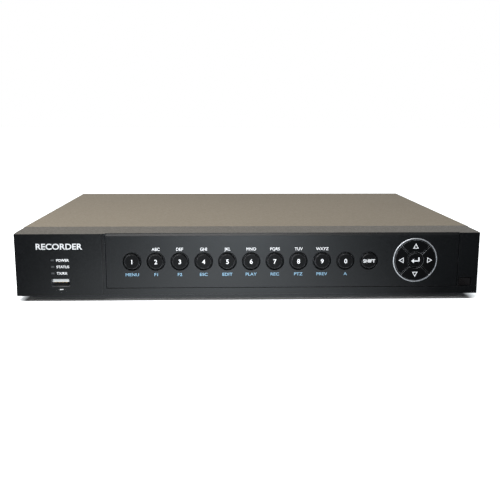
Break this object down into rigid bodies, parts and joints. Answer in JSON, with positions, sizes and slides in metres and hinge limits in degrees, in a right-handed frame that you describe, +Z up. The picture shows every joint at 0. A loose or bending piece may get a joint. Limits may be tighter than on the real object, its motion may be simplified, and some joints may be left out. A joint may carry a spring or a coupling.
{
  "type": "video recorder",
  "caption": "Compact security video recorder: grey metal case, black front with number keys, direction pad, front port and rear video, audio and network sockets.",
  "frame": {"origin": "middle of the footprint, on the floor under the feet", "axes": "+X across the front towards the direction pad, +Y from the front to the rear sockets, +Z up"},
  "size_m": [0.315, 0.255, 0.045],
  "materials": {
    "bezel_plastic": "fine-grained black moulding",
    "key_plastic": "smooth black moulding with printed legends",
    "ring_metal": "satin silver",
    "dark_window": "dark red infrared window",
    "lens_plastic": "clear light guide",
    "socket_steel": "tinned sheet",
    "white_plastic": "plain",
    "cover_paint": "warm grey powder coat",
    "zinc_steel": "zinc-plated sheet",
    "foot_rubber": "plain",
    "screw_steel": "zinc-plated",
    "board_green": "solder mask",
    "board_black": "black solder mask",
    "black_plastic": "plain",
    "standoff_brass": "turned",
    "sink_aluminium": "cast and extruded",
    "capacitor_sleeve": "shrink sleeve",
    "cell_steel": "pressed",
    "cable_plastic": "flexible insulation",
    "jack_nickel": "nickel plate",
    "jack_brass": "gold flash",
    "audio_red": "plain",
    "video_blue": "plain",
    "terminal_green": "plain",
    "rocker_red": "plain",
    "led_yellow": "epoxy"
  },
  "bodies": {
    "recorder_case": {"front_bezel": "bezel_plastic", "keypad_plate": "bezel_plastic", "nav_ring": "ring_metal", "ir_window": "dark_window", "led_lenses": "lens_plastic", "usb_front_shell": "socket_steel", "usb_rear_socket": "socket_steel", "hdmi_socket": "socket_steel", "vga_socket": "socket_steel", "network_socket": "socket_steel", "key_switches": "socket_steel", "usb_front_tongue": "white_plastic", "bnc_insulators": "white_plastic", "top_cover": "cover_paint", "base_tray": "zinc_steel", "rear_panel": "zinc_steel", "rubber_feet": "foot_rubber", "case_screws": "screw_steel", "cover_screws": "screw_steel", "board_screws": "screw_steel", "main_board": "board_green", "front_board": "board_black", "ir_receiver": "black_plastic", "board_chips": "black_plastic", "coin_cell_holder": "black_plastic", "bnc_housings": "black_plastic", "dc_jack": "black_plastic", "power_switch": "black_plastic", "fan_frame": "black_plastic", "board_standoffs": "standoff_brass", "heat_sink": "sink_aluminium", "disk_case": "sink_aluminium", "capacitors": "capacitor_sleeve", "coin_cell": "cell_steel", "disk_lid": "cell_steel", "inner_cables": "cable_plastic", "bnc_jacks": "jack_nickel", "audio_jacks": "jack_brass", "audio_insulators": "audio_red", "vga_insulator": "video_blue", "alarm_terminal": "terminal_green", "status_leds": "led_yellow"},
    "key_1": {"key_1": "key_plastic"},
    "key_2": {"key_2": "key_plastic"},
    "key_3": {"key_3": "key_plastic"},
    "key_4": {"key_4": "key_plastic"},
    "key_5": {"key_5": "key_plastic"},
    "key_6": {"key_6": "key_plastic"},
    "key_7": {"key_7": "key_plastic"},
    "key_8": {"key_8": "key_plastic"},
    "key_9": {"key_9": "key_plastic"},
    "key_0": {"key_0": "key_plastic"},
    "key_shift": {"key_shift": "key_plastic"},
    "nav_up": {"nav_up": "key_plastic"},
    "nav_right": {"nav_right": "key_plastic"},
    "nav_down": {"nav_down": "key_plastic"},
    "nav_left": {"nav_left": "key_plastic"},
    "enter_key": {"enter_key": "key_plastic"},
    "power_rocker": {"power_rocker": "rocker_red"},
    "fan_rotor": {"fan_rotor": "black_plastic"}
  },
  "joints": [
    {"name": "key_1_press", "type": "slide", "parent": "recorder_case", "child": "key_1", "axis": [0, 1, 0], "range_m": [0, 0.0008], "stiffness_N_per_m": 1500, "springref_m": -0.0003},
    {"name": "key_2_press", "type": "slide", "parent": "recorder_case", "child": "key_2", "axis": [0, 1, 0], "range_m": [0, 0.0008], "stiffness_N_per_m": 1500, "springref_m": -0.0003},
    {"name": "key_3_press", "type": "slide", "parent": "recorder_case", "child": "key_3", "axis": [0, 1, 0], "range_m": [0, 0.0008], "stiffness_N_per_m": 1500, "springref_m": -0.0003},
    {"name": "key_4_press", "type": "slide", "parent": "recorder_case", "child": "key_4", "axis": [0, 1, 0], "range_m": [0, 0.0008], "stiffness_N_per_m": 1500, "springref_m": -0.0003},
    {"name": "key_5_press", "type": "slide", "parent": "recorder_case", "child": "key_5", "axis": [0, 1, 0], "range_m": [0, 0.0008], "stiffness_N_per_m": 1500, "springref_m": -0.0003},
    {"name": "key_6_press", "type": "slide", "parent": "recorder_case", "child": "key_6", "axis": [0, 1, 0], "range_m": [0, 0.0008], "stiffness_N_per_m": 1500, "springref_m": -0.0003},
    {"name": "key_7_press", "type": "slide", "parent": "recorder_case", "child": "key_7", "axis": [0, 1, 0], "range_m": [0, 0.0008], "stiffness_N_per_m": 1500, "springref_m": -0.0003},
    {"name": "key_8_press", "type": "slide", "parent": "recorder_case", "child": "key_8", "axis": [0, 1, 0], "range_m": [0, 0.0008], "stiffness_N_per_m": 1500, "springref_m": -0.0003},
    {"name": "key_9_press", "type": "slide", "parent": "recorder_case", "child": "key_9", "axis": [0, 1, 0], "range_m": [0, 0.0008], "stiffness_N_per_m": 1500, "springref_m": -0.0003},
    {"name": "key_0_press", "type": "slide", "parent": "recorder_case", "child": "key_0", "axis": [0, 1, 0], "range_m": [0, 0.0008], "stiffness_N_per_m": 1500, "springref_m": -0.0003},
    {"name": "key_shift_press", "type": "slide", "parent": "recorder_case", "child": "key_shift", "axis": [0, 1, 0], "range_m": [0, 0.0008], "stiffness_N_per_m": 1500, "springref_m": -0.0003},
    {"name": "nav_up_press", "type": "slide", "parent": "recorder_case", "child": "nav_up", "axis": [0, 1, 0], "range_m": [0, 0.0008], "stiffness_N_per_m": 1500, "springref_m": -0.0003},
    {"name": "nav_right_press", "type": "slide", "parent": "recorder_case", "child": "nav_right", "axis": [0, 1, 0], "range_m": [0, 0.0008], "stiffness_N_per_m": 1500, "springref_m": -0.0003},
    {"name": "nav_down_press", "type": "slide", "parent": "recorder_case", "child": "nav_down", "axis": [0, 1, 0], "range_m": [0, 0.0008], "stiffness_N_per_m": 1500, "springref_m": -0.0003},
    {"name": "nav_left_press", "type": "slide", "parent": "recorder_case", "child": "nav_left", "axis": [0, 1, 0], "range_m": [0, 0.0008], "stiffness_N_per_m": 1500, "springref_m": -0.0003},
    {"name": "enter_key_press", "type": "slide", "parent": "recorder_case", "child": "enter_key", "axis": [0, 1, 0], "range_m": [0, 0.0008], "stiffness_N_per_m": 1500, "springref_m": -0.0003},
    {"name": "power_rock", "type": "hinge", "parent": "recorder_case", "child": "power_rocker", "pos_m": [-0.099, 0.1141, 0.023], "axis": [1, 0, 0], "range_deg": [0, 20]},
    {"name": "fan_spin", "type": "hinge", "parent": "recorder_case", "child": "fan_rotor", "pos_m": [-0.132, 0.1077, 0.022], "axis": [0, 1, 0], "continuous": true}
  ]
}
